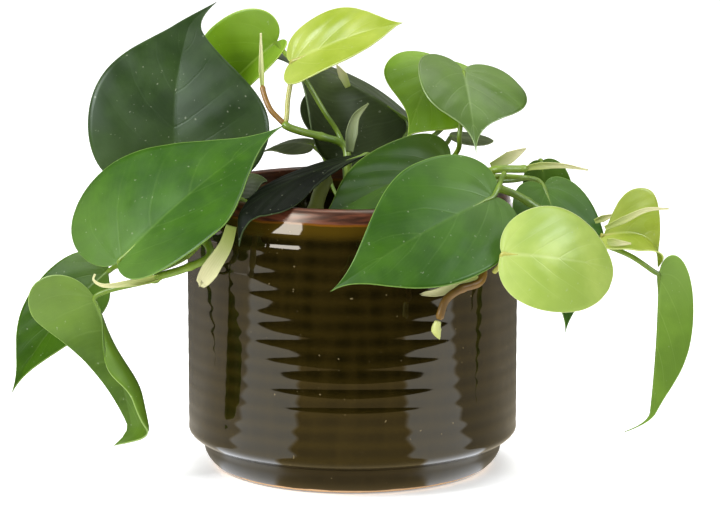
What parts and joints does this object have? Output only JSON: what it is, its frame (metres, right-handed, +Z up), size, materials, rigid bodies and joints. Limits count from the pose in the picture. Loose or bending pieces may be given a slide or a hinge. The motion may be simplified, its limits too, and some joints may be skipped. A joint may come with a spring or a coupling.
{
  "type": "potted heartleaf philodendron",
  "caption": "Trailing house plant with glossy heart-shaped leaves on green vines, growing in a ringed, dark-glazed stoneware pot.",
  "frame": {"origin": "centre of the pot's flat base, on the surface that the pot stands on", "axes": "+Z up along the pot's axis, -Y towards the front that the picture shows, +X to the right of that view"},
  "size_m": [0.2976, 0.1672, 0.2025],
  "materials": {
    "glaze": "glossy dark glaze on stoneware",
    "soil": "matt, moist potting soil",
    "leaf_dark": "satin leaf",
    "leaf_deep": "satin leaf in shade",
    "leaf_green": "satin leaf",
    "leaf_bright": "satin leaf",
    "leaf_young": "glossy young leaf",
    "leaf_olive": "satin leaf",
    "stem_green": "satin stem",
    "stem_brown": "satin stem",
    "stem_old": "satin stem",
    "sheath_pale": "thin papery scale"
  },
  "bodies": {
    "root": {"leaf_big_dark": "leaf_dark", "leaf_left_front": "leaf_green", "leaf_back_bright": "leaf_bright", "leaf_top_young": "leaf_young", "leaf_deep_top": "leaf_deep", "leaf_deep_behind": "leaf_deep", "leaf_right_bright": "leaf_bright", "leaf_grey_heart": "leaf_dark", "leaf_olive_small": "leaf_olive", "leaf_inside_rim": "leaf_green", "leaf_front": "leaf_green", "leaf_right_green": "leaf_dark", "leaf_right_shadow": "leaf_deep", "leaf_round_young": "leaf_young", "leaf_unfolding": "leaf_young", "leaf_hanging_right": "leaf_green", "leaf_twisted_left": "leaf_green", "leaf_left_behind": "leaf_dark", "leaf_rim_dark": "leaf_deep", "leaf_inner_striped": "leaf_deep", "leaf_back_thin": "leaf_olive", "vine_middle": "stem_green", "vine_left": "stem_green", "vine_right": "stem_green", "vine_far_right": "stem_green", "vine_front": "stem_brown", "shoot_upper_left": "stem_brown", "vine_centre": "stem_green", "stem_thick": "stem_old", "sheath_upper_left": "sheath_pale", "sheath_behind_top": "sheath_pale", "sheath_middle": "sheath_pale", "sheath_right_wide": "sheath_pale", "sheath_right_long": "sheath_pale", "sheath_far_right": "sheath_pale", "sheath_far_pale": "sheath_pale", "sheath_far_low": "sheath_pale", "sheath_left_curled": "sheath_pale", "sheath_left_hanging": "sheath_pale", "sheath_front_ragged": "sheath_pale", "bud_front": "leaf_young", "pot": "glaze", "soil": "soil"}
  },
  "joints": []
}
